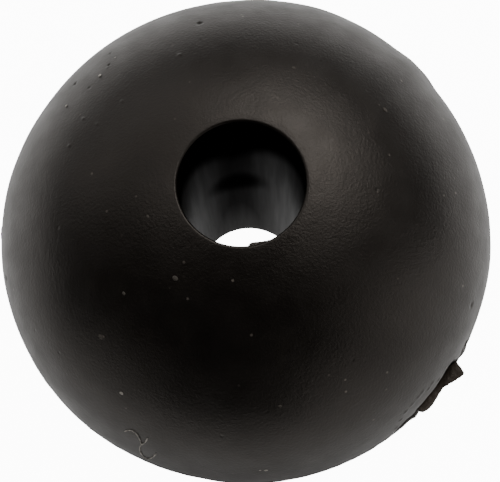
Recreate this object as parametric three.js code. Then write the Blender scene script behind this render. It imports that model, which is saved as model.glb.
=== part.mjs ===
// Case opening friction ball: one solid black rubber moulding, a ball flattened along
// the bore that runs right through it, with the scraps of moulding flash still on its
// parting line. Millimetres, +Z up along the bore, origin at the middle of the ball.
import * as THREE from 'three';
import { mergeVertices } from 'three/addons/utils/BufferGeometryUtils.js';

// Ball
const equatorR = 30; // half the width of the ball, across the bore
const poleR = 24; // half the height of the ball, before the bore takes its tips away
const boreTopR = 6.8; // bore wall at the upper mouth
const boreBottomR = 7.1; // bore wall at the lower mouth: the draft of the core pin
const mouthRound = 0.3; // rounding of both mouths
const ridgeHeight = 0.12; // parting line standing up round the equator
const ridgeWidth = 0.7; // its width where it leaves the ball

// Flash left on the parting line
const rootGap = 0.3; // clearance between a flash scrap and the parting line
const tabThickness = 0.5;
const tabStart = -35; // degrees round the ball, from +X towards +Y
const tabSweep = -14; // degrees that the tab covers
const tabReach = 1.5; // how far its longest corner stands out of the ball
const sliverThickness = 0.4;
const sliverStart = 171;
const sliverSweep = 8;
const sliverReach = 0.85;

// How finely round shapes are divided
const turnSteps = 72;
const flankSteps = 9; // from the parting line to a mouth
const roundSteps = 3; // along the rounding of a mouth
const boreSteps = 6; // along the bore

const rubber = new THREE.MeshStandardMaterial({ color: 0x1f1c1a, roughness: 0.5, metalness: 0 });
const flashRubber = new THREE.MeshStandardMaterial({ color: 0x2b2623, roughness: 0.6, metalness: 0 });

const degrees = THREE.MathUtils.degToRad;

function flankPoint(angle) {
  return new THREE.Vector2(equatorR * Math.cos(angle), poleR * Math.sin(angle));
}

function flankNormal(angle) {
  return new THREE.Vector2(Math.cos(angle) / equatorR, Math.sin(angle) / poleR).normalize();
}

// The rounding that joins the flank to a bore wall of radius boreR, found by halving:
// its centre lies mouthRound inside the flank and mouthRound outside the wall.
function mouthArc(boreR) {
  let low = 0;
  let high = Math.PI / 2;
  const centreAt = (angle) => flankPoint(angle).addScaledVector(flankNormal(angle), -mouthRound);
  for (let i = 0; i < 50; i += 1) {
    const middle = (low + high) / 2;
    if (centreAt(middle).x > boreR + mouthRound) {
      low = middle;
    } else {
      high = middle;
    }
  }
  const normal = flankNormal(low);
  return { end: low, centre: centreAt(low), from: Math.atan2(normal.y, normal.x) };
}

// From where the rounding leaves the flank to where it meets the bore wall.
function roundPoints(arc) {
  const points = [];
  for (let i = 0; i <= roundSteps; i += 1) {
    const angle = THREE.MathUtils.lerp(arc.from, Math.PI, i / roundSteps);
    points.push(new THREE.Vector2(
      arc.centre.x + mouthRound * Math.cos(angle),
      arc.centre.y + mouthRound * Math.sin(angle),
    ));
  }
  return points;
}

// From the parting line, past its ridge, to just before the rounding.
function flankPoints(arc) {
  const ridgeEnd = Math.asin(ridgeWidth / 2 / poleR);
  const points = [new THREE.Vector2(equatorR + ridgeHeight, ridgeWidth / 6)];
  for (let i = 0; i < flankSteps; i += 1) {
    points.push(flankPoint(THREE.MathUtils.lerp(ridgeEnd, arc.end, i / flankSteps)));
  }
  return points;
}

function halfOutline(boreR) {
  const arc = mouthArc(boreR);
  return [...flankPoints(arc), ...roundPoints(arc)];
}

function boreWall(top, bottom) {
  const points = [];
  for (let i = 1; i < boreSteps; i += 1) {
    points.push(top.clone().lerp(bottom, i / boreSteps));
  }
  return points;
}

function ballGeometry() {
  const upper = halfOutline(boreTopR);
  const lower = halfOutline(boreBottomR).map((p) => new THREE.Vector2(p.x, -p.y)).reverse();
  const wall = boreWall(upper[upper.length - 1], lower[0]);
  const outline = [...upper, ...wall, ...lower, upper[0].clone()];
  const geometry = new THREE.LatheGeometry(outline, turnSteps);
  geometry.rotateX(Math.PI / 2);
  geometry.deleteAttribute('normal');
  geometry.deleteAttribute('uv');
  const merged = mergeVertices(geometry, 1e-4);
  merged.computeVertexNormals();
  return merged;
}

// A flat scrap of flash in the parting plane. Its torn edge is given as steps of
// [share of the sweep, share of the reach], and its root follows the parting line.
function flashGeometry({ start, sweep, reach, thickness, tornEdge }) {
  const rootR = equatorR + ridgeHeight + rootGap;
  const place = ([along, out]) => {
    const angle = degrees(start + sweep * along);
    const radius = rootR + (reach - ridgeHeight - rootGap) * out;
    return new THREE.Vector2(radius * Math.cos(angle), radius * Math.sin(angle));
  };
  const shape = new THREE.Shape();
  const first = place([0, 0]);
  shape.moveTo(first.x, first.y);
  shape.splineThru(tornEdge.map(place));
  const last = place([1, 0]);
  shape.lineTo(last.x, last.y);
  shape.absarc(0, 0, rootR, degrees(start + sweep), degrees(start), sweep > 0);
  const geometry = new THREE.ExtrudeGeometry(shape, {
    depth: thickness,
    bevelEnabled: false,
    curveSegments: 8,
  });
  geometry.translate(0, 0, -thickness / 2);
  return geometry;
}

function namedMesh(name, geometry, material) {
  const mesh = new THREE.Mesh(geometry, material);
  mesh.name = name;
  return mesh;
}

const ball = new THREE.Group();

ball.add(namedMesh('ball_body', ballGeometry(), rubber));

ball.add(namedMesh('edge_flash_tab', flashGeometry({
  start: tabStart,
  sweep: tabSweep,
  reach: tabReach,
  thickness: tabThickness,
  tornEdge: [
    [0.04, 0.45], [0.09, 0.92], [0.2, 1], [0.31, 0.78], [0.46, 0.3],
    [0.62, 0.34], [0.8, 0.46], [0.94, 0.36], [0.99, 0.1],
  ],
}), flashRubber));

ball.add(namedMesh('edge_flash_sliver', flashGeometry({
  start: sliverStart,
  sweep: sliverSweep,
  reach: sliverReach,
  thickness: sliverThickness,
  tornEdge: [[0.1, 0.6], [0.25, 1], [0.5, 0.9], [0.8, 0.5], [0.97, 0.15]],
}), flashRubber));

export default ball;
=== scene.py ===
import math

import bmesh
import bpy
from mathutils import Matrix, Vector, noise


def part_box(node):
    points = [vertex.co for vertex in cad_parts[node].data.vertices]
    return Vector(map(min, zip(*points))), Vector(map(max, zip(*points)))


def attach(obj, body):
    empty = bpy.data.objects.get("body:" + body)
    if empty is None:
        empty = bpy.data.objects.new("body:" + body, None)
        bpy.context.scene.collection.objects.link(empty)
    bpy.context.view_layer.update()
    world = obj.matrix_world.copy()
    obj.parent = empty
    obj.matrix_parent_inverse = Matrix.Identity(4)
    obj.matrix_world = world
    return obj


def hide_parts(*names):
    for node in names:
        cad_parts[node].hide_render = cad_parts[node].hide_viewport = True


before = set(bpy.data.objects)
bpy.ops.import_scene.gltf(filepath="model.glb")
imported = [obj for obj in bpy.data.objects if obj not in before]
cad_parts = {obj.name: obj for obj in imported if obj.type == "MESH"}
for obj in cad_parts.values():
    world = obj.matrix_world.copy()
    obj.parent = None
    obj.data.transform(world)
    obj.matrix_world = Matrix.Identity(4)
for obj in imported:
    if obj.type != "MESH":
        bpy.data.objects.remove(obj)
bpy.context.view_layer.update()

ballLow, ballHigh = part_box("ball_body")

mm = 0.001  # the settings below are in millimetres, the meshes in metres


def linearColour(hexText):
    # sRGB hex to the linear colour that the shaders take
    parts = [int(hexText[i:i + 2], 16) / 255 for i in (1, 3, 5)]
    linear = [p / 12.92 if p <= 0.04045 else ((p + 0.055) / 1.055) ** 2.4 for p in parts]
    return (*linear, 1.0)


def addNode(tree, kind, inputs=None, **settings):
    node = tree.nodes.new(kind)
    for name, value in settings.items():
        setattr(node, name, value)
    for socket, value in (inputs or {}).items():
        if isinstance(value, bpy.types.NodeSocket):
            tree.links.new(value, node.inputs[socket])
        else:
            node.inputs[socket].default_value = value
    return node


def newMaterial(name):
    material = bpy.data.materials.new(name)
    material.use_nodes = True
    material.node_tree.nodes.clear()
    return material, material.node_tree


def newPiece(name, mesh, materials):
    data = bpy.data.meshes.new(name)
    mesh.to_mesh(data)
    mesh.free()
    for polygon in data.polygons:
        polygon.use_smooth = True
    piece = bpy.data.objects.new(name, data)
    bpy.context.collection.objects.link(piece)
    for material in materials:
        data.materials.append(material)
    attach(piece, "root")
    return piece


def around(azimuth, radius, height):
    # a place from degrees round the bore, distance from its axis and height, in mm
    turn = math.radians(azimuth)
    return Vector((radius * math.cos(turn), radius * math.sin(turn), height)) * mm


def lookup(table, share):
    # eased reading of a short list of (share, value) steps
    for (x0, y0), (x1, y1) in zip(table, table[1:]):
        if share <= x1:
            t = (share - x0) / (x1 - x0)
            return y0 + (y1 - y0) * t * t * (3 - 2 * t)
    return table[-1][1]


def paintedBoreShade(tree, place, rubber, paintedShade):
    # Painted shade on the bore wall: a dark, dull coat, whole near the upper mouth, where it stands
    # for the wall's shade, and in a spot half way down; at the sides and low down it fades and the rubber
    # shines.
    parts = addNode(tree, "ShaderNodeSeparateXYZ", {"Vector": place})
    across = addNode(tree, "ShaderNodeMath", {
        0: parts.outputs["X"], 1: paintedShade["middle"] * mm}, operation="SUBTRACT")
    aside = addNode(tree, "ShaderNodeMath", {0: across.outputs[0]}, operation="ABSOLUTE")
    edge = addNode(tree, "ShaderNodeMath", {
        0: aside.outputs[0], 1: -paintedShade["slope"], 2: parts.outputs["Z"]}, operation="MULTIPLY_ADD")
    away = addNode(tree, "ShaderNodeVectorMath", {
        0: place, 1: [value * mm for value in paintedShade["spotPlace"]]}, operation="DISTANCE")

    fades = []
    for value, (whole, bare), least, most in [
            (aside.outputs[0], paintedShade["sides"], paintedShade["least"], 1.0),
            (parts.outputs["Z"], paintedShade["low"], 0.0, paintedShade["lowShare"]),
            (edge.outputs[0], paintedShade["top"], 0.0, 1.0),
            (away.outputs["Value"], paintedShade["spot"], paintedShade["spotShare"], 1.0)]:
        fade = addNode(tree, "ShaderNodeMapRange", {
            "Value": value, "From Min": whole * mm, "From Max": bare * mm,
            "To Min": least, "To Max": most}, interpolation_type="SMOOTHSTEP")
        fades.append(fade.outputs[0])
    sides, low, top, spot = fades
    shadeFades = addNode(tree, "ShaderNodeMath", {0: sides, 1: low}, operation="MAXIMUM")
    below = addNode(tree, "ShaderNodeMath", {0: shadeFades.outputs[0], 1: top}, operation="MULTIPLY")
    share = addNode(tree, "ShaderNodeMath", {0: below.outputs[0], 1: spot}, operation="MULTIPLY")
    # the dark, dull coat of painted shade
    shadeCoat = addNode(tree, "ShaderNodeBsdfPrincipled", {
        "Base Color": linearColour(paintedShade["colour"]), "Roughness": paintedShade["matt"], "Specular IOR Level": 0.0})
    return addNode(tree, "ShaderNodeMixShader", {
        0: share.outputs[0], 1: shadeCoat.outputs[0], 2: rubber}).outputs[0]


def mouldedRubber(name, look):
    # Carbon black rubber, compression moulded and then handled: near black with a warm
    # cast, satin, with a fine mould grain, smudges that change the gloss, and dry dust.
    material, tree = newMaterial(name)
    place = addNode(tree, "ShaderNodeTexCoord").outputs["Object"]
    where = addNode(tree, "ShaderNodeMapping", {"Vector": place, "Scale": look["stretch"]}).outputs[0]

    cloud = addNode(tree, "ShaderNodeTexNoise", {
        "Vector": where, "Scale": 1 / (look["cloud"] * mm), "Detail": 4.0, "Roughness": 0.6})
    speck = addNode(tree, "ShaderNodeTexVoronoi", {
        "Vector": where, "Scale": 1 / (look["dustSpacing"] * mm), "Randomness": 1.0})
    dust = addNode(tree, "ShaderNodeMapRange", {
        "Value": speck.outputs["Distance"], "From Min": look["dustSize"],
        "From Max": look["dustSize"] * 0.4, "To Min": 0.0, "To Max": 1.0})
    rare = addNode(tree, "ShaderNodeMapRange", {
        "Value": addNode(tree, "ShaderNodeSeparateColor", {"Color": speck.outputs["Color"]}).outputs[0],
        "From Min": look["dustRare"], "From Max": 1.0, "To Min": 0.0, "To Max": 1.0})
    dusty = addNode(tree, "ShaderNodeMath", {0: dust.outputs[0], 1: rare.outputs[0]},
                    operation="MULTIPLY", use_clamp=True)
    tone = addNode(tree, "ShaderNodeMix", {
        "Factor": cloud.outputs["Fac"], "A": linearColour(look["dark"]), "B": linearColour(look["light"])},
        data_type="RGBA")
    colour = addNode(tree, "ShaderNodeMix", {
        "Factor": dusty.outputs[0], "A": tone.outputs["Result"], "B": linearColour(look["dust"])},
        data_type="RGBA")

    smudge = addNode(tree, "ShaderNodeTexNoise", {
        "Vector": where, "Scale": 1 / (look["smudge"] * mm), "Detail": 3.0, "Roughness": 0.55})
    gloss = addNode(tree, "ShaderNodeMapRange", {
        "Value": smudge.outputs["Fac"], "From Min": 0.3, "From Max": 0.7,
        "To Min": look["glossy"], "To Max": look["matt"]})

    grain = addNode(tree, "ShaderNodeTexNoise", {
        "Vector": where, "Scale": 1 / (look["grain"] * mm), "Detail": 2.0, "Roughness": 0.6})
    skin = addNode(tree, "ShaderNodeTexNoise", {
        "Vector": where, "Scale": 1 / (look["skin"] * mm), "Detail": 2.0, "Roughness": 0.5})
    pit = addNode(tree, "ShaderNodeTexVoronoi", {
        "Vector": where, "Scale": 1 / (look["pitSpacing"] * mm), "Randomness": 1.0})
    hole = addNode(tree, "ShaderNodeMapRange", {
        "Value": pit.outputs["Distance"], "From Min": 0.0, "From Max": look["pitSize"],
        "To Min": -1.0, "To Max": 0.0})
    relief = addNode(tree, "ShaderNodeMath", {
        0: skin.outputs["Fac"], 1: look["skinShare"], 2: grain.outputs["Fac"]}, operation="MULTIPLY_ADD")
    height = addNode(tree, "ShaderNodeMath", {0: relief.outputs[0], 1: hole.outputs[0]}, operation="ADD")
    bump = addNode(tree, "ShaderNodeBump", {
        "Height": height.outputs[0], "Strength": look["bump"], "Distance": look["relief"] * mm})

    shader = addNode(tree, "ShaderNodeBsdfPrincipled", {
        "Base Color": colour.outputs["Result"], "Roughness": gloss.outputs[0],
        "Normal": bump.outputs["Normal"], "IOR": 1.5,
        "Specular IOR Level": look["shine"], "Specular Tint": linearColour(look["tint"])})
    surface = shader.outputs[0]
    # the bore wall gets its painted shade laid over the rubber
    if "paintedShade" in look:
        surface = paintedBoreShade(tree, place, surface, look["paintedShade"])
    addNode(tree, "ShaderNodeOutputMaterial", {"Surface": surface})
    return material


flankLook = {
    "stretch": (1.0, 1.0, 1.0),
    "dark": "#0d0b0a", "light": "#1a1613", "dust": "#6a625b",
    "shine": 0.5, "tint": "#fff2e6",
    "cloud": 9.0,  # mm across a patch of colour
    "dustSpacing": 1.6, "dustSize": 0.12, "dustRare": 0.8,
    "smudge": 3.0, "glossy": 0.345, "matt": 0.435,
    "grain": 0.3,  # mould grain, drawn about three times its real size so that it shows
    "skin": 1.8, "skinShare": 0.7,
    "pitSpacing": 4.5, "pitSize": 0.06,
    "bump": 0.5, "relief": 0.07,
}
# On the bore wall the core pin has drawn the grain out lengthways. Over it lies painted shade,
# a dark dull coat: where it is whole and where it fades, in mm from the middle plane, up the bore
# and from the spot, and how much bare rubber shows in between.
boreLook = dict(flankLook, stretch=(1.0, 1.0, 0.06), grain=0.25, skin=0.6, skinShare=1.2,
                cloud=1.2, smudge=0.8, glossy=0.42, matt=0.5, bump=0.2, relief=0.04, tint="#ffeede",
                dustRare=0.95, pitSize=0.0001, shine=0.12, dark="#100d0b", light="#1b1714",
                paintedShade={"middle": -0.8, "sides": (0.5, 7.2), "least": 0.14,
                      "low": (0, -24), "lowShare": 0.5, "slope": 0.8, "top": (13.5, 8.5),
                      "spotPlace": (-0.6, 6.95, 1.4), "spot": (1.4, 5.0), "spotShare": 0.1,
                      "colour": "#0b0a09", "matt": 0.9})
flashLook = dict(flankLook, dark="#2f2823", light="#544a42", grain=0.3, skin=0.7, smudge=0.8,
                 glossy=0.4, matt=0.65, bump=0.9, relief=0.1)

flankRubber = mouldedRubber("mouldedBlackRubber", flankLook)
boreRubber = mouldedRubber("corePinDrawnRubberPaintedShade", boreLook)
flashRubber = mouldedRubber("tornFlashRubber", flashLook)
print("materials made")


ballSettings = {
    "flattening": 0.8,  # half height over half width, before the bore takes the tips away
    "ridgeHeight": 0.12, "ridgeWidth": 0.7,
    "boreTop": 6.8, "boreBottom": 7.1, "mouthRound": 0.3,
    "wallSlack": 0.05, "wallTilt": 0.3,  # how far out and how tilted a face of the wall may be
    "flankSteps": 52, "roundSteps": 6, "boreSteps": 30, "turnSteps": 288,
    "unevenness": 0.035, "unevenSpan": 7,  # slow waviness of a rubber moulding, but not
    "evenWithin": 8.5,  # this near to the bore's axis
    "ridgeRagged": 0.05, "ridgeSpan": 1.2,
    "crestDrop": 0.8, "crestRise": 0.2,  # the rounded crest of the ridge, as shares of its size
    # how far the worn ball stands out of round, mm, by degrees round the bore
    "outOfRound": [(-180, 0.12), (-172, 0.15), (-155, 0.14), (-135, 0.04), (-117, -0.1), (-105, -0.13),
                   (-94, 0.0), (-70, 0.03), (-50, -0.08), (-38, -0.1), (-25, 0.0), (-12, 0.12), (-4, 0.05),
                   (8, -0.04), (20, -0.08), (31, -0.1), (37, 0.28), (41, 0.36), (46, 0.17), (57, 0.27),
                   (66, 0.33), (80, 0.17), (90, -0.08), (98, -0.17), (125, -0.17), (140, -0.22),
                   (155, -0.04), (166, 0.1), (180, 0.12)],
    # the step that the tear has left in the flank above the tab: how far in it goes
    "ledge": [(-58.5, 31.0), (-57, 29.8), (-54.5, 29.62), (-53, 29.72), (-51, 29.55), (-46.5, 29.4),
              (-42.6, 29.26), (-39.5, 29.12), (-38, 29.2), (-36, 29.6), (-35.2, 29.9), (-34.2, 29.6),
              (-31.6, 29.5), (-30.4, 29.75), (-29.6, 31.0)],
    "ledgeLow": 0.5, "ledgeHigh": 9.0, "ledgeRagged": 0.08, "ledgeSpan": 0.8,
    # how far round the marks and the ledge the mesh is made finer, and how often it is cut
    "markReach": 1.5, "markCuts": 3, "ledgeReach": 3.5, "ledgeCuts": 2,
}
equatorR = (ballHigh.x - ballLow.x) / 2 / mm - ballSettings["ridgeHeight"]
poleR = equatorR * ballSettings["flattening"]


def flankRadius(height):
    # distance of the ball's surface from the bore's axis at a height, mm
    return equatorR * math.sqrt(max(0.0, 1 - (height / poleR) ** 2))


def flankNormal(radius, height):
    across, up = radius / equatorR ** 2, height / poleR ** 2
    size = math.hypot(across, up)
    return across / size, up / size


def mouthArc(boreR):
    # the rounding between the flank and a bore wall, found by halving
    r = ballSettings["mouthRound"]
    low, high = 0.0, math.pi / 2
    for _ in range(50):
        angle = (low + high) / 2
        x, z = equatorR * math.cos(angle), poleR * math.sin(angle)
        nx, nz = flankNormal(x, z)
        if x - r * nx > boreR + r:
            low = angle
        else:
            high = angle
    return low, (x - r * nx, z - r * nz), math.atan2(nz, nx)


def halfOutline(boreR):
    s = ballSettings
    end, centre, start = mouthArc(boreR)
    first = math.asin(s["ridgeWidth"] / 2 / poleR)
    points = [(equatorR + s["ridgeHeight"], 0.0),
              (equatorR + s["ridgeHeight"] * s["crestDrop"], s["ridgeWidth"] * s["crestRise"])]
    for i in range(s["flankSteps"]):
        angle = first + (end - first) * i / s["flankSteps"]
        points.append((equatorR * math.cos(angle), poleR * math.sin(angle)))
    for i in range(s["roundSteps"] + 1):
        angle = start + (math.pi - start) * i / s["roundSteps"]
        points.append((centre[0] + s["mouthRound"] * math.cos(angle),
                       centre[1] + s["mouthRound"] * math.sin(angle)))
    return points


def makeBall():
    s = ballSettings
    upper = halfOutline(s["boreTop"])
    lower = [(x, -z) for x, z in halfOutline(s["boreBottom"])]
    (topX, topZ), (lowX, lowZ) = upper[-1], lower[-1]
    wall = [(topX + (lowX - topX) * i / s["boreSteps"], topZ + (lowZ - topZ) * i / s["boreSteps"])
            for i in range(1, s["boreSteps"])]
    outline = upper + wall + lower[:0:-1]
    mesh = bmesh.new()
    verts = [mesh.verts.new((x * mm, 0, z * mm)) for x, z in outline]
    edges = [mesh.edges.new(pair) for pair in zip(verts, verts[1:] + verts[:1])]
    bmesh.ops.spin(mesh, geom=verts + edges, cent=(0, 0, 0), axis=(0, 0, 1),
                   angle=2 * math.pi, steps=s["turnSteps"], use_merge=True)
    bmesh.ops.remove_doubles(mesh, verts=mesh.verts, dist=1e-7)
    bmesh.ops.recalc_face_normals(mesh, faces=mesh.faces)
    mesh.normal_update()
    for face in mesh.faces:
        # the second material is for the bore wall alone, not for the rounding of the mouths
        middle = face.calc_center_median()
        insideBore = math.hypot(middle.x, middle.y) < (s["boreBottom"] + s["wallSlack"]) * mm
        face.material_index = 1 if insideBore and abs(face.normal.z) < s["wallTilt"] else 0
    return mesh


# Small marks on the flank: degrees round the bore, height, radius and depth in mm.
# A negative depth stands proud.
flankMarks = [
    (99.1, 16.3, 0.5, 0.15), (138.1, 13.1, 0.4, 0.15), (128.9, 15.6, 0.3, 0.12),
    (138.1, 16.0, 0.28, 0.08), (125.8, 13.8, 0.28, 0.08), (-25.6, 8.4, 0.6, 0.12),
    (129.8, 15.8, 0.3, -0.05), (109.5, 19.4, 0.35, -0.1), (137.5, 19.8, 0.3, -0.08),
    (148.5, 17.8, 0.3, -0.08), (158.3, 17.7, 0.32, -0.08), (149.1, 19.2, 0.28, -0.07),
    (-171.0, 6.7, 0.6, 0.14),
    # the swelling under the lip of flash above the tab
    (-32.3, -0.4, 1.0, -0.2), (-33.6, 0.5, 0.8, -0.2),
    # rough raised edges of the weld beside the tab
    (-43.5, 5.4, 0.5, -0.07), (-45.4, 6.5, 0.5, -0.08), (-46.9, 6.2, 0.45, -0.07), (-48.7, 7.0, 0.5, -0.08),
    (-50.1, 6.8, 0.5, -0.08), (-52.3, 6.5, 0.5, -0.06), (-54.4, 6.1, 0.5, -0.08), (-56.1, 5.0, 0.5, -0.07),
    (-57.6, 3.3, 0.5, -0.07),
]
# places along the ledge: degrees round the bore and height
ledgeSpots = [(azimuth, 3.2) for azimuth in range(-59, -28, 3)]


def refineAround(mesh, spots, reach, cuts):
    near = {e for e in mesh.edges for spot in spots
            if (e.verts[0].co - spot).length < reach and (e.verts[1].co - spot).length < reach}
    bmesh.ops.subdivide_edges(mesh, edges=list(near), cuts=cuts, use_grid_fill=True)


def flankPlace(azimuth, height):
    return around(azimuth, flankRadius(height), height)


def cutLedge(mesh):
    # pushes the flank above the tab in to the step that the tear has left
    s = ballSettings
    for v in mesh.verts:
        radius, height = math.hypot(v.co.x, v.co.y) / mm, v.co.z / mm
        azimuth = math.degrees(math.atan2(v.co.y, v.co.x))
        if s["ledgeLow"] < height < s["ledgeHigh"] and s["ledge"][0][0] < azimuth < s["ledge"][-1][0]:
            ledge = lookup(s["ledge"], azimuth)
            ledge += s["ledgeRagged"] * noise.noise(v.co / (s["ledgeSpan"] * mm))
            if radius > ledge:
                v.co = around(azimuth, ledge, height)


def roughenBall(mesh):
    s = ballSettings
    spots = [(flankPlace(azimuth, height), radius, depth) for azimuth, height, radius, depth in flankMarks]
    refineAround(mesh, [spot for spot, _, _ in spots], s["markReach"] * mm, s["markCuts"])
    refineAround(mesh, [flankPlace(*place) for place in ledgeSpots], s["ledgeReach"] * mm, s["ledgeCuts"])
    mesh.normal_update()
    moves = []
    for v in mesh.verts:
        radius, height = math.hypot(v.co.x, v.co.y) / mm, v.co.z / mm
        rise = 0.0
        if radius > s["evenWithin"]:
            rise = s["unevenness"] * noise.noise(v.co / (s["unevenSpan"] * mm))
            if abs(height) < s["ridgeWidth"] / 2:
                rise += s["ridgeRagged"] * noise.noise(v.co / (s["ridgeSpan"] * mm))
        azimuth = math.degrees(math.atan2(v.co.y, v.co.x))
        rise += lookup(s["outOfRound"], azimuth) * (radius / equatorR) ** 3
        for spot, size, depth in spots:
            away = (v.co - spot).length / mm / size
            if away < 1:
                rise -= depth * (1 - away * away) ** 2
        moves.append((v, v.normal * rise * mm))
    for v, move in moves:
        v.co += move
    cutLedge(mesh)


ballMesh = makeBall()
roughenBall(ballMesh)
ball = newPiece("frictionBall", ballMesh, [flankRubber, boreRubber])
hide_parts("ball_body")
print("ball made,", len(ball.data.polygons), "faces")


# Each scrap: degrees where it starts and that it covers; the radius that it grows from,
# outwards or inwards, and how far behind that its root lies; the height of its top and its
# thickness; the dip along its root; its torn edge as (share of the sweep, reach in mm), and
# how far the edge droops, by the same shares.
flashScraps = {
    "edgeFlashTab": {
        "start": -35.7, "sweep": -14.8, "grows": 1, "from": equatorR, "rootDepth": 1.3,
        "height": 0.95, "thickness": 0.4, "valley": 1.0, "valleyWidth": 0.9,
        "edge": [(0, -0.35), (0.034, 0.26), (0.068, 0.87), (0.1, 1.32), (0.135, 1.4), (0.19, 1.25),
                 (0.25, 1.05), (0.304, 0.85), (0.385, 0.58), (0.473, 0.33), (0.568, 0.38), (0.662, 0.52),
                 (0.777, 0.64), (0.865, 0.63), (0.953, 0.45), (0.986, 0.2), (1, -0.08)],
        "droop": [(0, 0.15), (0.4, 0.2), (0.6, 0.6), (0.9, 0.8), (1, 0.4)],
        "ragged": 0.04, "rubber": flashRubber, "replaces": "edge_flash_tab"},
    "edgeFlashSliver": {
        "start": 171.0, "sweep": 8.5, "grows": 1, "from": equatorR, "rootDepth": 0.6,
        "height": 0.15, "thickness": 0.3, "valley": 0.0, "valleyWidth": 1.0,
        "edge": [(0, 0.0), (0.12, 0.55), (0.3, 0.72), (0.5, 0.7), (0.72, 0.58), (0.88, 0.35), (1, 0.0)],
        "droop": [(0, 0.0), (1, 0.0)],
        "ragged": 0.04, "rubber": flashRubber, "replaces": "edge_flash_sliver"},
    "edgeFlashStrip": {
        "start": -50.4, "sweep": -6.8, "grows": 1, "from": equatorR, "rootDepth": 0.8,
        "height": 1.5, "thickness": 0.35, "valley": 0.5, "valleyWidth": 0.5,
        "edge": [(0, 0.0), (0.12, 0.12), (0.24, 0.2), (0.36, 0.1), (0.5, 0.0), (0.66, 0.06),
                 (0.82, 0.1), (0.93, 0.05), (1, -0.15)],
        "droop": [(0, 0.8), (1, 0.8)],
        "ragged": 0.05, "rubber": flankRubber, "replaces": None},
    "edgeFlashLip": {
        "start": -31.2, "sweep": -4.1, "grows": 1, "from": equatorR, "rootDepth": 1.0,
        "height": 1.5, "thickness": 0.3, "valley": 0.5, "valleyWidth": 0.5,
        "edge": [(0, -0.35), (0.15, -0.1), (0.4, 0.05), (0.62, 0.1), (0.8, 0.0), (1, -0.4)],
        "droop": [(0, 0.9), (1, 0.9)],
        "ragged": 0.02, "rubber": flankRubber, "replaces": None},
    "mouthFlashNub": {
        "start": -88.6, "sweep": 23.0, "grows": -1, "from": ballSettings["boreTop"],
        "rootDepth": 0.55,
        "height": 23.1, "thickness": 0.35, "valley": 0.0, "valleyWidth": 1.0,
        "edge": [(0, -0.1), (0.04, 0.1), (0.09, 0.26), (0.18, 0.34), (0.3, 0.32), (0.46, 0.26), (0.6, 0.18),
                 (0.8, 0.08), (1, -0.1)],
        "droop": [(0, 0.12), (1, 0.12)],
        "ragged": 0.03, "rubber": flankRubber, "replaces": None},
}
flashShape = {
    "along": 90, "out": 12,  # faces along a scrap and from its root to its edge
    "roll": 0.08,  # how much a scrap waves up and down, mm
    "rimAngle": 60, "rimRound": 0.25,  # degrees that make an edge, and its rounding over the thickness
}


def makeScrap(s):
    mesh = bmesh.new()
    bmesh.ops.create_grid(mesh, x_segments=flashShape["along"], y_segments=flashShape["out"], size=0.5)
    for v in mesh.verts:
        share, step = v.co.x + 0.5, v.co.y + 0.5
        azimuth = s["start"] + s["sweep"] * share
        reach = lookup(s["edge"], share)
        reach += s["ragged"] * noise.noise(Vector((azimuth * 1.7, 3.1, 0.0))) * min(1.0, abs(reach) * 4)
        out = (s["rootDepth"] + reach) * step  # how far this point lies from the root
        radius = s["from"] + s["grows"] * (out - s["rootDepth"])
        height = s["height"] - s["valley"] * math.exp(-(out / s["valleyWidth"]) ** 2)
        height -= lookup(s["droop"], share) * step ** 3
        height += flashShape["roll"] * noise.noise(Vector((azimuth * 0.9, out * 2.5, 7.0))) * step
        v.co = around(azimuth, radius, height)
    mesh.normal_update()
    if sum(f.normal.z for f in mesh.faces) < 0:
        bmesh.ops.reverse_faces(mesh, faces=mesh.faces)
    bmesh.ops.solidify(mesh, geom=mesh.faces[:], thickness=s["thickness"] * mm)
    bmesh.ops.recalc_face_normals(mesh, faces=mesh.faces)
    sharp = math.radians(flashShape["rimAngle"])
    rims = [e for e in mesh.edges if len(e.link_faces) == 2 and e.calc_face_angle() > sharp]
    bmesh.ops.bevel(mesh, geom=rims, offset=s["thickness"] * flashShape["rimRound"] * mm,
                    offset_type="OFFSET", segments=2, profile=0.5, affect="EDGES", material=-1,
                    clamp_overlap=True)
    bmesh.ops.recalc_face_normals(mesh, faces=mesh.faces)
    return mesh


for scrapName, scrapSettings in flashScraps.items():
    scrap = newPiece(scrapName, makeScrap(scrapSettings), [scrapSettings["rubber"]])
    if scrapSettings["replaces"]:
        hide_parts(scrapSettings["replaces"])
print("flash made")


dustSettings = {
    # flecks of dust: degrees round the bore and height
    "places": [(63.7, 20.75), (27.4, 18.9), (10.1, 20.06), (-128.9, 21.96), (-142.4, 19.93), (-84.1, 15.5),
               (-139.1, 16.7), (-165.1, 22.5)],
    "size": 0.27, "spread": 0.35, "narrow": 0.75, "flatness": 0.25,
    "colour": "#645e57", "shade": "#46413c",
}
# the few paler specks, nearer the edge of the ball
paleSpeckSettings = dict(dustSettings, size=0.19, colour="#d4cec4", shade="#aaa39a", places=[
    (145.6, 14.8), (133.3, 16.0), (126.1, 15.4), (-126.5, 13.5), (-153.2, 12.1), (-90.6, 6.4), (-89.3, 6.3),
    (-40.5, 6.1)])
lintSettings = {
    # the fibres of a short curl, the same way
    "fibres": [[(-122.8, 8.4), (-122.0, 9.0), (-121.2, 9.3), (-120.1, 9.2), (-119.2, 8.8), (-118.5, 8.0),
                (-118.2, 7.35), (-118.5, 6.5), (-118.4, 5.3), (-117.8, 4.0), (-117.1, 3.3), (-116.0, 3.95),
                (-115.1, 5.4), (-114.5, 6.7)],
               [(-118.2, 7.35), (-117.4, 8.2), (-117.0, 9.3)]],
    "thickness": 0.08, "colour": "#e2dcd3", "shade": "#b9b2a9",
}


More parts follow.
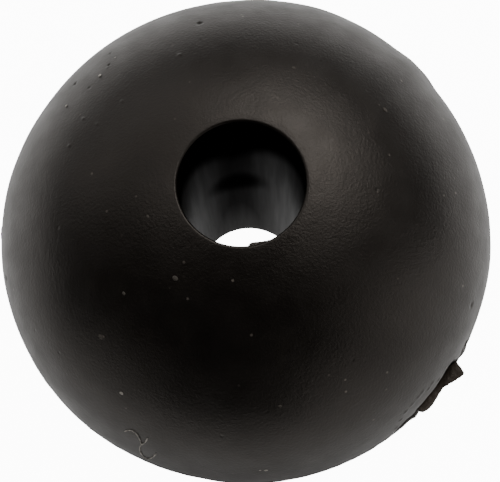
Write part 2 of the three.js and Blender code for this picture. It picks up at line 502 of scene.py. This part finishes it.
def makeSpecks(s):
    mesh = bmesh.new()
    for index, (azimuth, height) in enumerate(s["places"]):
        middle = flankPlace(azimuth, height)
        outward = Vector((middle.x, middle.y, middle.z / ballSettings["flattening"] ** 2)).normalized()
        size = s["size"] * (1 + s["spread"] * math.sin(index * 2.4)) * mm
        turn = outward.to_track_quat("Z", "Y").to_matrix().to_4x4()
        shape = Matrix.Diagonal((size, size * s["narrow"], size * s["flatness"], 1))
        bmesh.ops.create_icosphere(mesh, subdivisions=2, radius=1.0,
                                   matrix=Matrix.Translation(middle) @ turn @ shape)
    return mesh


def makeLint(s):
    mesh = bmesh.new()
    for start, end in [pair for fibre in s["fibres"] for pair in zip(fibre, fibre[1:])]:
        a, b = flankPlace(*start), flankPlace(*end)
        turn = (b - a).to_track_quat("Z", "Y").to_matrix().to_4x4()
        shape = Matrix.Diagonal((s["thickness"] * mm, s["thickness"] * mm, (b - a).length * 0.6, 1))
        bmesh.ops.create_icosphere(mesh, subdivisions=1, radius=1.0,
                                   matrix=Matrix.Translation((a + b) / 2) @ turn @ shape)
    return mesh


def dryFleck(name, s):
    # Paper dust, lint and pale specks on the rubber: dry, quite matt, no gloss.
    material, tree = newMaterial(name)
    place = addNode(tree, "ShaderNodeTexCoord").outputs["Object"]
    fluff = addNode(tree, "ShaderNodeTexNoise", {"Vector": place, "Scale": 1 / (0.1 * mm), "Detail": 2.0})
    tone = addNode(tree, "ShaderNodeMix", {
        "Factor": fluff.outputs["Fac"], "A": linearColour(s["shade"]), "B": linearColour(s["colour"])},
        data_type="RGBA")
    shader = addNode(tree, "ShaderNodeBsdfPrincipled", {
        "Base Color": tone.outputs["Result"], "Roughness": 0.9, "Specular IOR Level": 0.2})
    addNode(tree, "ShaderNodeOutputMaterial", {"Surface": shader.outputs[0]})
    return material


newPiece("settledDust", makeSpecks(dustSettings), [dryFleck("paperDust", dustSettings)])
newPiece("paleSpecks", makeSpecks(paleSpeckSettings), [dryFleck("paleSpeckFinish", paleSpeckSettings)])
newPiece("lintCurl", makeLint(lintSettings), [dryFleck("cottonLint", lintSettings)])
print("dust made")


floorSettings = {"size": 1600, "colour": "#e9e8e6",
                 "glowFront": 0.45, "glowBack": 0.84, "rampFront": -35, "rampBack": 0,
                 # the ball's own shade on the floor in front of it
                 "shadeAt": (-2, -38), "shadeInner": 12, "shadeOuter": 36, "shade": 0.25,
                 "seen": 12}


def makeFloor(s):
    # a pale floor, shown bright and even, that lights the ball less than it shows,
    # and most from the back
    material, tree = newMaterial("paleFloor")
    place = addNode(tree, "ShaderNodeTexCoord").outputs["Object"]
    ramp = addNode(tree, "ShaderNodeMapRange", {
        "Value": addNode(tree, "ShaderNodeSeparateXYZ", {"Vector": place}).outputs["Y"],
        "From Min": s["rampFront"] * mm, "From Max": s["rampBack"] * mm,
        "To Min": s["glowFront"], "To Max": s["glowBack"]})
    middle = (s["shadeAt"][0] * mm, s["shadeAt"][1] * mm, ballLow.z)
    away = addNode(tree, "ShaderNodeVectorMath", {0: place, 1: middle}, operation="DISTANCE")
    shade = addNode(tree, "ShaderNodeMapRange", {
        "Value": away.outputs["Value"], "From Min": s["shadeInner"] * mm, "From Max": s["shadeOuter"] * mm,
        "To Min": s["shade"], "To Max": 1.0})
    lit = addNode(tree, "ShaderNodeMath", {0: ramp.outputs[0], 1: shade.outputs[0]}, operation="MULTIPLY")
    eye = addNode(tree, "ShaderNodeLightPath").outputs["Is Camera Ray"]
    glow = addNode(tree, "ShaderNodeMapRange", {
        "Value": eye, "To Min": lit.outputs[0], "To Max": s["seen"]})
    shader = addNode(tree, "ShaderNodeBsdfPrincipled", {
        "Base Color": linearColour(s["colour"]), "Roughness": 0.6,
        "Emission Color": (1, 1, 1, 1), "Emission Strength": glow.outputs[0]})
    addNode(tree, "ShaderNodeOutputMaterial", {"Surface": shader.outputs[0]})
    mesh = bmesh.new()
    bmesh.ops.create_grid(mesh, x_segments=1, y_segments=1, size=s["size"] / 2 * mm)
    bmesh.ops.translate(mesh, verts=mesh.verts, vec=(0, 0, ballLow.z))
    data = bpy.data.meshes.new("floor")
    mesh.to_mesh(data)
    mesh.free()
    floor = bpy.data.objects.new("floor", data)
    bpy.context.collection.objects.link(floor)
    data.materials.append(material)


makeFloor(floorSettings)

# Soft boxes: degrees round from +X, degrees above the floor, width and height in mm,
# and how bright their faces are.
lightDistance = 700
softBoxes = {
    "keyBox": (60, 44, 340, 272, 3.25),
    "keyCore": (42, 60, 150, 120, 5.0),
    "keyBack": (90, 44, 340, 272, 1.8),
    "keySide": (30, 44, 340, 272, 1.08),
    "topSide": (20, 62, 340, 272, 1.63),
    "topBack": (140, 62, 340, 272, 1.37),
    "backLow": (120, 26, 340, 272, 0.97),
    "leftLow": (150, 26, 340, 272, 0.88),
    "rightLow": (-30, 26, 340, 272, 0.63),
    "rightEdge": (-20, 8, 360, 288, 0.97),
    "frontEdge": (-60, 8, 360, 288, 0.72),
    "leftEdge": (-140, 8, 360, 288, 0.37),
}


def makeSoftBox(name, azimuth, elevation, width, height, bright):
    lamp = bpy.data.lights.new(name, "AREA")
    lamp.shape = "RECTANGLE"
    lamp.size, lamp.size_y = width * mm, height * mm
    lamp.energy = bright * math.pi * lamp.size * lamp.size_y
    light = bpy.data.objects.new(name, lamp)
    bpy.context.collection.objects.link(light)
    flat = math.cos(math.radians(elevation)) * lightDistance
    light.location = around(azimuth, flat, math.sin(math.radians(elevation)) * lightDistance)
    light.rotation_mode = "QUATERNION"
    light.rotation_quaternion = (-light.location).to_track_quat("-Z", "Y")


for boxName, boxSettings in softBoxes.items():
    makeSoftBox(boxName, *boxSettings)

worldSettings = {"seen": 12}


def makeWorld(s):
    # an even pale backdrop behind the floor that lights nothing; the soft boxes and the glowing floor are
    # all the light there is
    world = bpy.data.worlds.new("studio")
    world.use_nodes = True
    tree = world.node_tree
    tree.nodes.clear()
    eye = addNode(tree, "ShaderNodeLightPath").outputs["Is Camera Ray"]
    bright = addNode(tree, "ShaderNodeMapRange", {"Value": eye, "To Min": 0.0, "To Max": s["seen"]})
    sky = addNode(tree, "ShaderNodeBackground", {"Strength": bright.outputs[0]})
    addNode(tree, "ShaderNodeOutputWorld", {"Surface": sky.outputs[0]})
    bpy.context.scene.world = world


makeWorld(worldSettings)

cameraSettings = {
    "distance": 143.1, "elevation": 76.0, "roll": 4.2, "lens": 82.6,
    "aim": (0.5, -0.49),  # mm across and up the picture from the ball's middle
}


def makeCamera(s):
    data = bpy.data.cameras.new("camera")
    data.lens = s["lens"]
    data.sensor_width = 36
    data.clip_start, data.clip_end = 0.005, 10
    camera = bpy.data.objects.new("camera", data)
    bpy.context.collection.objects.link(camera)
    tip = math.radians(s["elevation"])
    back = Vector((0, -math.cos(tip), math.sin(tip)))
    turn = back.to_track_quat("Z", "Y").to_matrix() @ Matrix.Rotation(math.radians(-s["roll"]), 3, "Z")
    right, up = turn.col[0], turn.col[1]
    middle = right * s["aim"][0] * mm + up * s["aim"][1] * mm
    camera.matrix_world = Matrix.Translation(middle + back * s["distance"] * mm) @ turn.to_4x4()
    bpy.context.scene.camera = camera


makeCamera(cameraSettings)
print("stage, lights and camera made")
